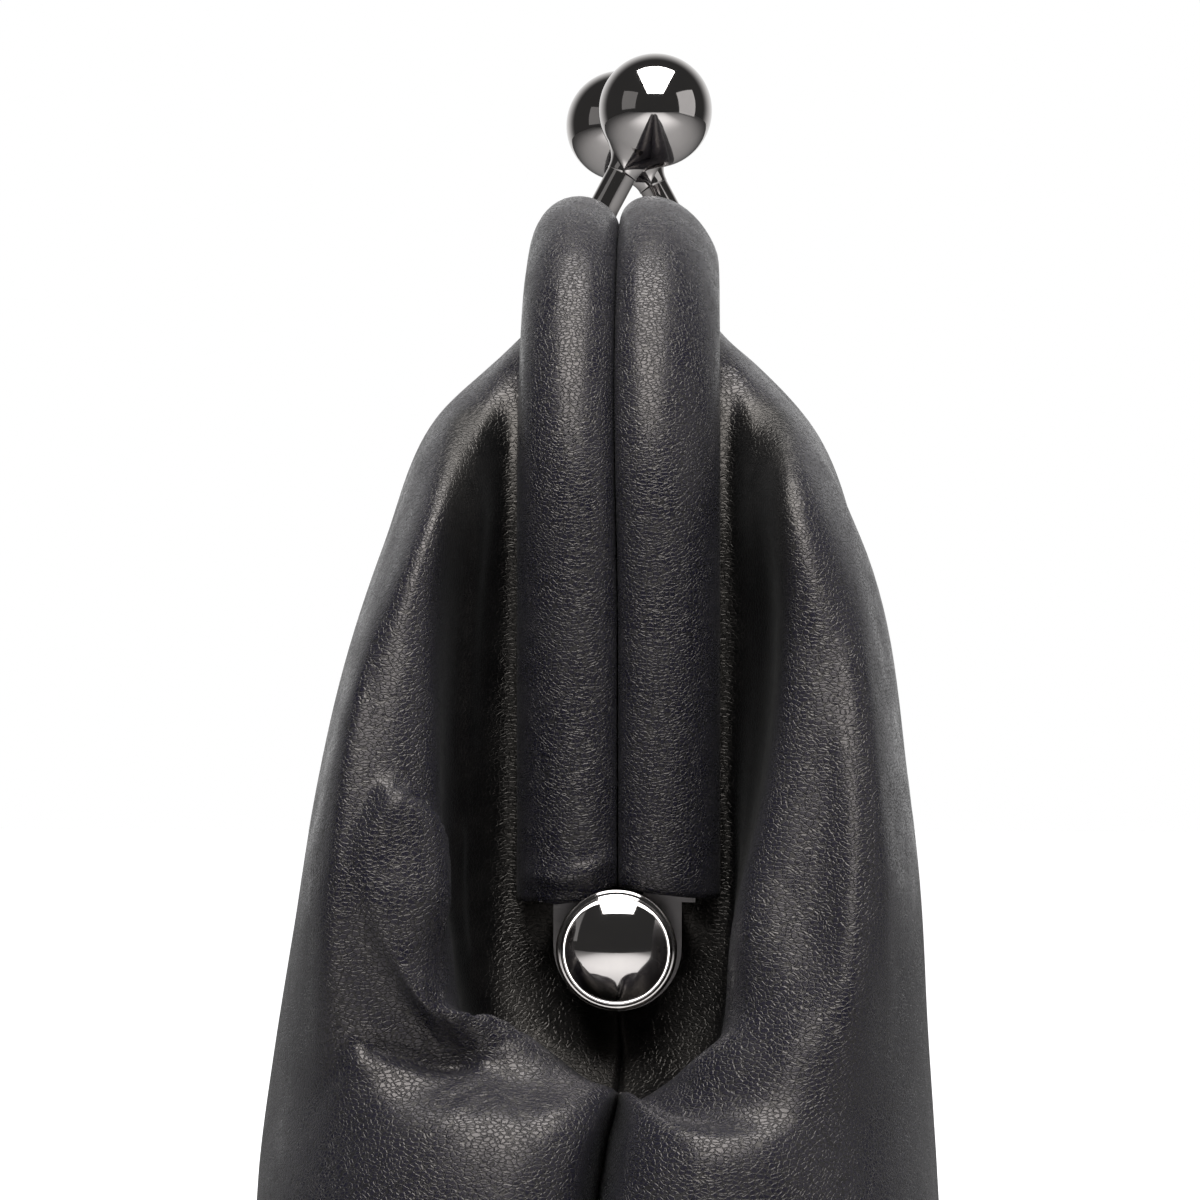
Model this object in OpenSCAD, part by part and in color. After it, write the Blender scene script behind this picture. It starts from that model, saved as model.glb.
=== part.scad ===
// Soft kiss lock frame purse. A leather pouch hangs in two padded, leather covered
// frame halves that swing on one hinge line and snap shut with two crossing balls.
// The origin is the middle of the base, +X runs along the purse, +Z is up and the
// front face looks to -Y. Every rear piece is the front one turned half round.

/* [Pouch] */
// Height of the hinge line above the base
hinge_z = 102; // [92:1:120]
// Widest length of the pouch
pouch_w = 230; // [224:1:244]
// Widest depth of the pouch, front to rear
pouch_t = 63; // [58:0.5:72]
// How far each end of the pouch rounds over, along X
end_r = 25; // [18:1:32]
// Drop from the hinge line to the edge where lower and upper panels join
join_drop = 12; // [10:0.5:18]
// Thickness of the pouch leather
panel_t = 1.4; // [1:0.1:1.8]
// Thickness of the lining cloth
lining_t = 0.5; // [0.3:0.1:0.8]
// Clearance between leather and lining
lining_gap = 0.25; // [0.2:0.05:0.4]
// Thickness of the base leather
base_t = 1.5; // [1.2:0.1:2.5]
// Thickness of the base stiffener board
board_t = 1.5; // [1:0.1:3]

/* [Slip pocket] */
// Length of the pocket
pocket_w = 92; // [60:1:110]
// Height of the pocket's lower edge above the base
pocket_z = 26; // [15:1:35]
// Depth of the pocket, lower edge to mouth
pocket_h = 48; // [35:1:52]

/* [Frame] */
// Length over the outside of the covered legs
frame_w = 188.4; // [182:0.2:192]
// Hinge line to the top of the covered bar
frame_drop = 62.8; // [56:0.2:70]
// Corner radius on the middle line of the steel channel
corner_r = 24; // [18:1:28]
// Thickness of one covered bar, front to rear
roll_t = 8.3; // [7.9:0.1:9]
// Gap between the two covered bars when shut
shut_gap = 0.1; // [0.1:0.05:0.4]
// Leather of the sleeve that covers the bar
sleeve_t = 0.8; // [0.6:0.1:1]
// Foam between the back of the channel and the sleeve
pad_t = 1.1; // [0.8:0.1:1.6]
// Rounding of the sleeve on its outer edges
roll_r = 3.6; // [2.8:0.1:3.8]
// Height of the sleeve's end above the hinge line
sleeve_lift = 3.6; // [3.5:0.1:6]
// Width of the steel channel
channel_w = 4.2; // [3.8:0.1:4.6]
// Depth of the steel channel
channel_d = 4.8; // [4.4:0.1:5.4]
// Sheet thickness of the channel and its hinge lugs
sheet_t = 0.8; // [0.6:0.05:0.9]
// Radius of the paper cord wedged in the channel
cord_r = 1.1; // [0.8:0.05:1.1]

/* [Hinge] */
// Radius of a lug round the hinge line, towards the other half
lug_r = 3.3; // [2.8:0.1:3.3]
// Radius of a lug on its own side of the hinge line
lug_own_r = 5.2; // [4.4:0.1:5.6]
// Radius of the hinge pin's shank
pin_r = 1.5; // [1:0.05:1.8]
// Running clearance round the shank
pin_clear = 0.05; // [0.02:0.01:0.1]
// Radius of the hinge cap's rim
cap_r = 4.85; // [4.4:0.05:5.4]
// Height of the hinge cap's dome
dome_h = 3; // [2:0.1:4]
// Thickness of the washer under the inner rivet head
washer_t = 0.6; // [0.4:0.05:0.8]

/* [Kiss lock] */
// Radius of a closing ball
ball_r = 6; // [5:0.1:7]
// Height of the ball's centre above the covered bar
ball_lift = 16.3; // [15:0.1:20]
// Distance of the ball's centre past the shut line
ball_cross = 1.95; // [1:0.05:3]
// Gap between the two balls as they pass
ball_gap = 0.3; // [0.3:0.1:1]
// Radius of a ball's stem
stem_r = 1.6; // [1.2:0.05:1.8]
// Lean of the upper stem
stem_lean = 28; // [24:1:34]
// Radius of the bend in the stem
bend_r = 8; // [6:0.5:9]

/* [Hidden] */

// Clearance between pieces that are built tight together
fit = 0.05;
// Clearance between the pouch and what moves past it
free = 0.4;
$fn = 48;

// The bar's section is drawn in u, outwards from the middle line of the channel,
// and v, across it. The inner lip of the channel faces into the purse.
back_u = channel_d / 2;
lip_u = -channel_d / 2;
out_u = back_u + pad_t + sleeve_t;
in_u = lip_u - sleeve_t - fit;
leg_x = frame_w / 2 - out_u;
bar_z = hinge_z + frame_drop - out_u;
bar_half = leg_x - corner_r;
leg_z = hinge_z + sleeve_lift;
leg_len = bar_z - corner_r - leg_z;
roll_y = -(roll_t + shut_gap) / 2;

// Hinge stack along X, outwards from the inner rivet head
lug_gap = 0.1;
own_lug_x = leg_x + back_u - sheet_t;
joggled_lug_x = own_lug_x - sheet_t - lug_gap;
washer_x = joggled_lug_x - lug_gap - washer_t;
head_t = 0.8;
head_r = 2.6;
boss_x = leg_x + back_u + lug_gap;
rim_x = frame_w / 2 + 0.3;
rim_t = 0.5;
step_t = 0.4;
boss_r = 3;
joint_lap = 5;

// The ball stands on the stem's upper, leaning part
ball_x = ball_r + ball_gap / 2;
ball_z = hinge_z + frame_drop + ball_lift;
bend_dy = bend_r * (1 - cos(stem_lean));
bend_dz = bend_r * sin(stem_lean);
lean_dy = ball_cross - roll_y - bend_dy;
lean_len = lean_dy / sin(stem_lean);
bend_z = ball_z - lean_dy / tan(stem_lean) - bend_dz;
tenon_r = 0.9;
seat_z = bar_z + back_u;
collar_r = 0.55 * ball_r;
collar_len = 0.45 * ball_r;

join_z = hinge_z - join_drop;
// Lower pouch outline: [share of the join height, drawn in at the ends, drawn in
// at the faces, pinch of the side seam]
levels = [
    [0.018, 8, 5.5, 0], [0.05, 5.6, 3.2, 0], [0.12, 3, 1.2, 0], [0.3, 0.8, 0.2, 0],
    [0.5, 0, 0, 0.5], [0.7, 0.4, 0.2, 2], [0.86, 1.1, 0.8, 3.4], [1, 2, 1.5, 4.5]
];
function column(k) = [for (l = levels) [l[0], l[k]]];
function end_half(z) = pouch_w / 2 - lookup(z / join_z, column(1));
function face_half(z) = pouch_t / 2 - lookup(z / join_z, column(2));
function pinch(z) = lookup(z / join_z, column(3));

// Half width of the crease that the pinched side seam makes
crease_w = 10;
seam_y = 0.05;
// Point of the front half outline at height z: q runs from 0 in the middle of the
// front face to 1 at the side seam, and side is 1 for +X or -1 for -X
function outline(q, z, inset, side) =
    let (rx = end_r - inset, ry = face_half(z) - inset, run = end_half(z) - end_r,
         total = run + (rx + ry) * 0.786, s = q * total,
         a = max(0, min(90, (s - run) / (total - run) * 90)),
         x = s < run ? s : run + rx * sin(a),
         y = min(-seam_y, s < run ? -ry : -ry * cos(a)),
         dip = pinch(z) * pow(max(0, 1 + y / crease_w), 2))
    [side * (x - dip), y, z];

// Smooth curve through a list of points, with t from 0 to 1
function curve_part(a, b, c, d, t) =
    b + (c - a) * (t / 2) + (2 * a - 5 * b + 4 * c - d) * (t * t / 2)
    + (3 * b - 3 * c + d - a) * (t * t * t / 2);
function curve(p, t) =
    let (n = len(p) - 1, i = min(n - 1, floor(t * n)), a = p[i], b = p[i + 1])
    curve_part(i > 0 ? p[i - 1] : 2 * a - b, a, b, i < n - 1 ? p[i + 2] : 2 * b - a,
        t * n - i);

// Stations of the upper panel. Each goes from the inner edge of the frame, past
// the side of the covered bar and over the lobe, and ends above the join. Heights
// over the hinge line, lengths and depths follow the frame and the pouch.
edge_z = bar_z + in_u - free;
edge_x = leg_x + in_u - free;
edge_r = corner_r + in_u - free;
side_y = roll_y - roll_t / 2 - free;
leg_top = bar_z - corner_r;
join_gap = 0.15;
function above(h) = hinge_z + h * frame_drop / 62.8;
function along(x) = x * pouch_w / 230;
function deep(y) = -y * face_half(join_z) / 30;
function lobe(x, y, h) = [along(x), deep(y), above(h)];
function bar_station(x) = [
    [x, roll_y, edge_z], [x, side_y - 0.3, edge_z - 4], [x, deep(13.4), above(47.2)],
    [x, deep(21.4), above(32)], [1.04 * x, deep(27.4), above(12)]
];
function corner_station() =
    let (cx = bar_half + edge_r * sin(45), cz = leg_top + edge_r * cos(45))
    [[cx, roll_y, cz], [cx + 0.4, side_y - 0.3, cz - 1], lobe(86, 13.6, 43.5),
     lobe(91.5, 21.2, 30), lobe(94, 26.6, 11)];
function leg_station(z, crest) =
    concat([[edge_x, roll_y, z], [edge_x + 0.2, side_y - 0.5, z]], crest);
function under_lug(x, y, h) = [edge_x + x, -y * lug_own_r / 5.2, hinge_z + h * lug_own_r / 5.2];
function seam_point(x, h) = [edge_x + x, -seam_y, join_z + h * join_drop / 12];
stations = concat(
    [for (k = [0:3]) bar_station(k * bar_half / 3)],
    [corner_station(),
     leg_station(leg_top, [lobe(98.5, 12.6, 35), lobe(103.5, 19.6, 25.5), lobe(105, 24.4, 8)]),
     leg_station((leg_top + leg_z) / 2,
         [lobe(101, 12.4, 19.5), lobe(108.5, 17.8, 14), lobe(110.5, 18.8, 2)]),
     leg_station(leg_z + 1.4,
         [lobe(100, 11.4, 3), lobe(108.5, 13.6, 0.5), lobe(111.5, 11.8, -5)]),
     [under_lug(0, 4.4, -2), under_lug(2, 7.4, -4.6), under_lug(9, 7.8, -5.4),
      under_lug(19, 8.2, -5.8), under_lug(23, 6.4, -8.6)],
     [seam_point(0, 7.6), seam_point(4, 5.8), seam_point(9, 4.6), seam_point(14, 3.4),
      seam_point(18.5, 2)]]);
// Where each station meets the join, as a share of the front outline
bar_foot = 1.08 * bar_half / (pouch_w / 2 + 17);
feet = [0, bar_foot / 3, 2 * bar_foot / 3, bar_foot, 0.67, 0.775, 0.845, 0.91, 0.96, 1];
function foot(s, inset) = outline(curve(feet, s), join_z, inset, 1) + [0, 0, join_gap];

// Point of the upper panel's outer face: s from 0 in the middle to 1 at the side
// seam, t from 0 at the frame to 1 at the join
function profile(s) =
    concat([for (k = [0:4]) curve([for (row = stations) row[k]], s)], [foot(s, 0)]);
function sheet_half(s, t) = let (p = curve(profile(s), t)) [p.x, min(p.y, -seam_y), p.z];
function sheet(s, t) = let (p = sheet_half(abs(s), t)) [s < 0 ? -p.x : p.x, p.y, p.z];
function unit(v) = v / norm(v);
step = 0.01;
function inwards(s, t) =
    let (sa = max(-1, s - step), sb = min(1, s + step), ta = max(0, t - step),
         tb = min(1, t + step))
    unit(cross(sheet(sb, t) - sheet(sa, t), sheet(s, tb) - sheet(s, ta)));
// The same face set in by a depth, kept above the join and on its own side
function under(s, t, depth) =
    let (f = foot(abs(s), depth), p = sheet(s, t) + inwards(s, t) * depth)
    t == 1 ? [s < 0 ? -f.x : f.x, f.y, f.z]
           : [p.x, min(p.y, -seam_y - 0.3 * depth), max(p.z, join_z + join_gap * (1 + depth))];

// Closed shell between two grids of points with equal rows and columns
module shell(outer, inner) {
    rows = len(outer);
    cols = len(outer[0]);
    n = rows * cols;
    flat_pts = concat([for (r = outer) for (p = r) p], [for (r = inner) for (p = r) p]);
    outer_faces = [for (i = [0:rows - 2]) for (j = [0:cols - 2])
        let (a = i * cols + j, b = a + 1, c = a + cols, d = c + 1) each [[a, d, b], [a, c, d]]];
    inner_faces = [for (f = outer_faces) [f[2] + n, f[1] + n, f[0] + n]];
    row_edges = [for (j = [0:cols - 2]) let (a = j, b = j + 1, c = (rows - 1) * cols + j,
        d = c + 1) each [[b, a + n, a], [b, b + n, a + n], [c, d + n, d], [c, c + n, d + n]]];
    col_edges = [for (i = [0:rows - 2]) let (a = i * cols, b = a + cols, c = a + cols - 1,
        d = c + cols) each [[a, b + n, b], [a, a + n, b + n], [d, c + n, c], [d, d + n, c + n]]];
    polyhedron(flat_pts, concat(outer_faces, inner_faces, row_edges, col_edges));
}

// Wall of the lower pouch between two depths under its outer face
module lower_wall(inset_a, inset_b, heights, q_end, steps) {
    qs = [for (k = [-steps:steps]) k / steps * q_end];
    shell(
        [for (z = heights) [for (q = qs) outline(abs(q), z, inset_a, q < 0 ? -1 : 1)]],
        [for (z = heights) [for (q = qs) outline(abs(q), z, inset_b, q < 0 ? -1 : 1)]]);
}

// Wall of the upper pouch between two depths under its outer face
module upper_wall(depth_a, depth_b) {
    s_steps = 24;
    t_steps = 9;
    ss = [for (k = [-s_steps:s_steps]) k / s_steps];
    ts = [for (k = [t_steps:-1:0]) k / t_steps];
    shell(
        [for (t = ts) [for (s = ss) under(s, t, depth_a)]],
        [for (t = ts) [for (s = ss) under(s, t, depth_b)]]);
}

module to_rear() {
    rotate([0, 0, 180]) children();
}

// Section of the covered bar, drawn in by an amount all round
module roll_section(inset) {
    r = roll_r - inset;
    r_in = 1.2;
    w = roll_t / 2 - inset;
    translate([in_u + inset + r_in, -w]) square([out_u - in_u - 2 * inset - r_in - r, 2 * w]);
    translate([in_u + inset, -w + r_in]) square([out_u - in_u - 2 * inset - r, 2 * w - 2 * r_in]);
    translate([out_u - inset - r - 0.1, -w + r]) square([r + 0.1, 2 * w - 2 * r]);
    for (v = [-1, 1]) {
        translate([out_u - inset - r, v * (w - r)]) circle(r);
        translate([in_u + inset + r_in, v * (w - r_in)]) circle(r_in);
    }
}

module channel_section() {
    difference() {
        translate([lip_u, -channel_w / 2]) square([channel_d, channel_w]);
        translate([lip_u - 1, -channel_w / 2 + sheet_t])
            square([channel_d + 1 - sheet_t, channel_w - 2 * sheet_t]);
    }
}

module padding_section() {
    difference() {
        roll_section(sleeve_t + fit);
        translate([lip_u - 2, -channel_w / 2 - fit]) square([channel_d + 2 + fit, channel_w + 2 * fit]);
        translate([lip_u - 2, -roll_t]) square([2 + fit, 2 * roll_t]);
    }
}

module sleeve_section() {
    mouth = channel_w / 2 - sheet_t;
    difference() {
        roll_section(0);
        roll_section(sleeve_t);
        translate([in_u - 1, -mouth]) square([sleeve_t + 2, 2 * mouth]);
    }
}

module cord_section() {
    translate([lip_u + cord_r + 0.2, 0]) circle(cord_r);
}

// Carries a section down both legs, round the corners and along the bar
module frame_sweep() {
    translate([0, roll_y, 0]) {
        for (side = [0, 1]) mirror([side, 0, 0]) {
            translate([leg_x, 0, leg_z]) linear_extrude(leg_len) children();
            translate([bar_half, 0, bar_z - corner_r]) rotate([90, 0, 0])
                rotate_extrude(angle = 90) translate([corner_r, 0]) children();
        }
        translate([0, 0, bar_z]) rotate([0, -90, 0])
            linear_extrude(2 * bar_half, center = true) children();
    }
}

// Flattened and drilled end of a leg. The front half's lugs are set in by one sheet
// so that they lie inside those of the rear half.
module hinge_lug(x, lap) {
    neck_y = roll_y + channel_w / 2;
    translate([x, 0, hinge_z]) rotate([90, 0, 90]) linear_extrude(sheet_t) difference() {
        union() {
            circle(lug_r);
            intersection() {
                circle(lug_own_r);
                translate([-lug_own_r, -lug_own_r]) square([lug_own_r, lug_own_r + lug_r]);
            }
            translate([-lug_own_r, 0]) square([lug_own_r + neck_y, sleeve_lift + lap]);
        }
        circle(pin_r + pin_clear);
    }
}

module frame_channel(joggled) {
    difference() {
        union() {
            frame_sweep() channel_section();
            for (side = [0, 1]) mirror([side, 0, 0]) {
                if (joggled) {
                    hinge_lug(joggled_lug_x, joint_lap);
                    translate([joggled_lug_x, roll_y - channel_w / 2 + sheet_t, leg_z + 0.4])
                        cube([sheet_t + lug_gap + 0.1, channel_w - 2 * sheet_t, joint_lap - 0.4]);
                } else {
                    hinge_lug(own_lug_x, 0.5);
                }
            }
        }
        stem_hole(tenon_r + fit);
    }
}

// Hole through the bar where the ball's stem goes in
module stem_hole(r) {
    translate([ball_x, roll_y, bar_z]) cylinder(r = r, h = out_u + 1);
}

module ball_stem() {
    head_h = 0.6;
    // Short fillets over the two ends of the bend, where the stem's parts meet
    fillet_h = 0.5;
    fillet_r = stem_r + 0.03;
    translate([ball_x, roll_y, 0]) {
        translate([0, 0, seat_z - sheet_t - head_h]) cylinder(r = tenon_r + 0.35, h = head_h);
        translate([0, 0, seat_z - sheet_t - head_h]) cylinder(r = tenon_r, h = sheet_t + head_h + 0.1);
        translate([0, 0, seat_z]) cylinder(r = stem_r, h = bend_z - seat_z);
        translate([0, 0, bend_z - fillet_h / 2]) cylinder(r = fillet_r, h = fillet_h);
        translate([0, bend_r, bend_z]) rotate([90, 0, -90])
            rotate_extrude(angle = stem_lean) translate([bend_r, 0]) circle(stem_r);
        translate([0, bend_dy, bend_z + bend_dz]) rotate([-stem_lean, 0, 0]) {
            cylinder(r = stem_r, h = lean_len - ball_r + 2);
            translate([0, 0, -fillet_h / 2]) cylinder(r = fillet_r, h = fillet_h);
        }
    }
}

module kiss_ball() {
    translate([ball_x, ball_cross, ball_z]) rotate([-stem_lean, 0, 0]) difference() {
        union() {
            sphere(ball_r);
            translate([0, 0, -ball_r - 1.2])
                cylinder(r1 = stem_r + 0.5, r2 = collar_r, h = collar_len);
        }
        translate([0, 0, -2 * ball_r]) cylinder(r = stem_r + fit, h = ball_r + 2 + fit);
    }
}

module hinge_pin() {
    translate([0, 0, hinge_z]) rotate([0, 90, 0]) {
        translate([0, 0, washer_x - head_t]) cylinder(r = head_r, h = head_t);
        translate([0, 0, washer_x - head_t]) cylinder(r = pin_r, h = rim_x + rim_t - washer_x + head_t);
    }
}

module hinge_washer() {
    translate([washer_x + 0.02, 0, hinge_z]) rotate([0, 90, 0]) difference() {
        cylinder(r = boss_r, h = washer_t - 0.02);
        translate([0, 0, -1]) cylinder(r = pin_r + pin_clear, h = washer_t + 2);
    }
}

module hinge_cap() {
    step_r = cap_r - 0.35;
    dome_r = cap_r - 0.7;
    dome_x = rim_x + rim_t + step_t;
    ball = (dome_r * dome_r + dome_h * dome_h) / (2 * dome_h);
    translate([0, 0, hinge_z]) rotate([0, 90, 0]) difference() {
        union() {
            translate([0, 0, boss_x]) cylinder(r = boss_r, h = rim_x - boss_x + 0.1);
            translate([0, 0, rim_x]) cylinder(r = cap_r, h = rim_t);
            translate([0, 0, rim_x]) cylinder(r = step_r, h = rim_t + step_t);
            intersection() {
                translate([0, 0, dome_x + dome_h - ball]) sphere(ball);
                translate([0, 0, dome_x - 0.1]) cylinder(r = dome_r, h = dome_h + 1);
            }
        }
        translate([0, 0, boss_x - 1]) cylinder(r = pin_r + 0.02, h = rim_x + rim_t - boss_x + 1.02);
    }
}

module base_plate(z, inset, t) {
    steps = 24;
    half = [for (k = [-steps:steps]) outline(abs(k) / steps, levels[0][0] * join_z, inset,
        k < 0 ? -1 : 1)];
    pts = concat([for (p = half) [p.x, p.y]], [for (k = [2 * steps:-1:0]) [half[k].x, -half[k].y]]);
    translate([0, 0, z]) linear_extrude(t) polygon(pts);
}

wall_z0 = base_t + 0.1;
lining_z = wall_z0 + board_t + 0.2;
panel_levels = concat([wall_z0], [for (k = [1:len(levels) - 2]) levels[k][0] * join_z], [join_z]);
lining_levels = concat([lining_z + lining_t + 0.1],
    [for (k = [2:len(levels) - 2]) levels[k][0] * join_z], [join_z]);
lining_in = panel_t + lining_gap;
pocket_in = lining_in + lining_t + 0.3;
pocket_levels = [for (k = [0:3]) pocket_z + k * pocket_h / 3];

module front_frame_channel() { color("dimgray") frame_channel(true); }
module front_frame_padding() {
    color("whitesmoke") difference() {
        frame_sweep() padding_section();
        stem_hole(stem_r + fit);
    }
}
module front_frame_sleeve() {
    color([0.1, 0.1, 0.11]) difference() {
        frame_sweep() sleeve_section();
        stem_hole(stem_r + fit);
    }
}
module front_frame_cord() { color("tan") frame_sweep() cord_section(); }
module front_ball_stem() { color("slategray") ball_stem(); }
module front_ball() { color("gray") kiss_ball(); }
module rear_frame_channel() { color("dimgray") to_rear() frame_channel(false); }
module rear_frame_padding() { to_rear() front_frame_padding(); }
module rear_frame_sleeve() { to_rear() front_frame_sleeve(); }
module rear_frame_cord() { to_rear() front_frame_cord(); }
module rear_ball_stem() { to_rear() front_ball_stem(); }
module rear_ball() { to_rear() front_ball(); }
module right_hinge_pin() { color("slategray") hinge_pin(); }
module right_hinge_washer() { color("silver") hinge_washer(); }
module right_hinge_cap() { color("gray") hinge_cap(); }
module left_hinge_pin() { to_rear() right_hinge_pin(); }
module left_hinge_washer() { to_rear() right_hinge_washer(); }
module left_hinge_cap() { to_rear() right_hinge_cap(); }
module front_lower_panel() {
    color([0.12, 0.12, 0.13]) lower_wall(0, panel_t, panel_levels, 1, 24);
}
module front_upper_panel() {
    color([0.14, 0.14, 0.15]) upper_wall(0, panel_t);
}
module rear_lower_panel() { to_rear() front_lower_panel(); }
module rear_upper_panel() { to_rear() front_upper_panel(); }
module base_panel() { color([0.11, 0.11, 0.12]) base_plate(0, 0, base_t); }
module base_board() { color("burlywood") base_plate(wall_z0, panel_t + 0.3, board_t); }
module base_lining() { color("darkslategray") base_plate(lining_z, lining_in, lining_t); }
module front_lower_lining() {
    color("darkslategray") lower_wall(lining_in, lining_in + lining_t, lining_levels, 1, 24);
}
module front_upper_lining() {
    color("darkslategray") upper_wall(lining_in, lining_in + lining_t);
}
module rear_lower_lining() { to_rear() front_lower_lining(); }
module rear_upper_lining() { to_rear() front_upper_lining(); }
module slip_pocket() {
    color("teal") to_rear()
        lower_wall(pocket_in, pocket_in + lining_t, pocket_levels, pocket_w / pouch_w / 1.15, 8);
}

front_frame_channel();
front_frame_padding();
front_frame_sleeve();
front_frame_cord();
front_ball_stem();
front_ball();
rear_frame_channel();
rear_frame_padding();
rear_frame_sleeve();
rear_frame_cord();
rear_ball_stem();
rear_ball();
left_hinge_pin();
left_hinge_washer();
left_hinge_cap();
right_hinge_pin();
right_hinge_washer();
right_hinge_cap();
front_lower_panel();
front_upper_panel();
rear_lower_panel();
rear_upper_panel();
base_panel();
base_board();
base_lining();
front_lower_lining();
front_upper_lining();
rear_lower_lining();
rear_upper_lining();
slip_pocket();
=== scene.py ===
"""Looks of a soft black leather purse with a padded kiss lock frame.

Lengths are in millimetres until a mesh is made. The origin is the middle of the base,
+X runs along the purse, the front half lies at -Y and +Z is up. Each rear piece is the
front one turned half round.
"""

import math

import bpy
import numpy as np
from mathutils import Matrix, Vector


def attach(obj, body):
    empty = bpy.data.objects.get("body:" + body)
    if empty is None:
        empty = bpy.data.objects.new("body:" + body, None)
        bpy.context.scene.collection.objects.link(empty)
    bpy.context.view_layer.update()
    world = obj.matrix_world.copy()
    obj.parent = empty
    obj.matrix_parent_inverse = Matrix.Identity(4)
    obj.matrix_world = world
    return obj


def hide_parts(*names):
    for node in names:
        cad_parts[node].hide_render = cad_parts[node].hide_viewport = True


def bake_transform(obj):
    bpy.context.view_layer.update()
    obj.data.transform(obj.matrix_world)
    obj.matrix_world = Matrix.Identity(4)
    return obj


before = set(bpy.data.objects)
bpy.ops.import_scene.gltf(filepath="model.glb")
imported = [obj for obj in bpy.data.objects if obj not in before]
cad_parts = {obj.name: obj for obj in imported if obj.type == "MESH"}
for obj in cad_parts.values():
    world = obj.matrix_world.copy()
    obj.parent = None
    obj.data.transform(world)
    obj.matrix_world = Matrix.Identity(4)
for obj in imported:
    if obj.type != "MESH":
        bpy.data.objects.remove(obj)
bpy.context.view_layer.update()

MM = 0.001
HINGE_Z = 102.0
JOIN_Z = 90.0
ROLL_Y = -4.2
LEG_X = 89.9
BAR_Z = 160.5
CORNER_R = 24.0
BAR_HALF = LEG_X - CORNER_R
LEG_TOP = BAR_Z - CORNER_R
LEG_END = 105.6
OUT_U = 4.3
IN_U = -3.25
ROLL_HALF = 4.15
ROLL_CROWN = 1.05
TIGHT_R = 2.4
FULL_R = 6.0
LIP_R = 1.3
CORD_U = -1.1
CORD_R = 1.1
CORD_PITCH = 11.0
BALL_X = 6.15
BALL_Y = 1.95
BALL_Z = 181.1
BALL_R = 6.0
STEM_R = 1.6
STEM_LEAN = math.radians(28)
BEND_R = 8.0
DOME_H = 1.05

# Camera

PICTURE = 1200
CAMERA_AT = np.array([369.9, 6.7, 132.0])
CAMERA_TURN = math.radians(1.67)
FOCAL_PX = 3440.0
HORIZON_UP = 25.0

camera_data = bpy.data.cameras.new("end_view")
camera_data.sensor_width = 36
camera_data.lens = FOCAL_PX / PICTURE * 36
camera_data.shift_y = -HORIZON_UP / PICTURE
camera_data.clip_start = 0.01
camera = bpy.data.objects.new("end_view", camera_data)
camera.location = Vector(CAMERA_AT * MM)
camera.rotation_euler = (math.pi / 2, 0, math.pi / 2 + CAMERA_TURN)
bpy.context.scene.collection.objects.link(camera)
bpy.context.scene.camera = camera


def seen_at(points):
    """Pixel position of points in the end view."""
    away = points - CAMERA_AT
    c, s = math.cos(CAMERA_TURN), math.sin(CAMERA_TURN)
    depth = -(away[..., 0] * c + away[..., 1] * s)
    right = -away[..., 0] * s + away[..., 1] * c
    x = PICTURE / 2 + FOCAL_PX * right / depth
    y = PICTURE / 2 - HORIZON_UP - FOCAL_PX * away[..., 2] / depth
    return np.stack([x, y], -1)


# Finishes


class Val:
    """A node's output that takes part in sums."""

    def __init__(self, tree, socket):
        self.tree = tree
        self.socket = socket

    def _math(self, kind, *terms):
        return add_node(self.tree, "ShaderNodeMath", {"operation": kind}, *terms)[0]

    def __add__(self, other):
        return self._math("ADD", self, other)

    def __mul__(self, other):
        return self._math("MULTIPLY", self, other)

    def __sub__(self, other):
        return self._math("SUBTRACT", self, other)

    def __rsub__(self, other):
        return self._math("SUBTRACT", other, self)

    def sin(self):
        return self._math("SINE", self)

    def most(self, other):
        return self._math("MAXIMUM", self, other)


def add_node(tree, kind, settings=None, *values, **named):
    """Adds a node: settings first, then values or links by order or by name."""
    node = tree.nodes.new(kind)
    for key, value in (settings or {}).items():
        setattr(node, key, value)
    pairs = list(enumerate(values)) + [(k.replace("_", " "), v) for k, v in named.items()]
    for socket, value in pairs:
        if isinstance(value, Val):
            tree.links.new(value.socket, node.inputs[socket])
        else:
            node.inputs[socket].default_value = value
    return [Val(tree, out) for out in node.outputs]


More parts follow.
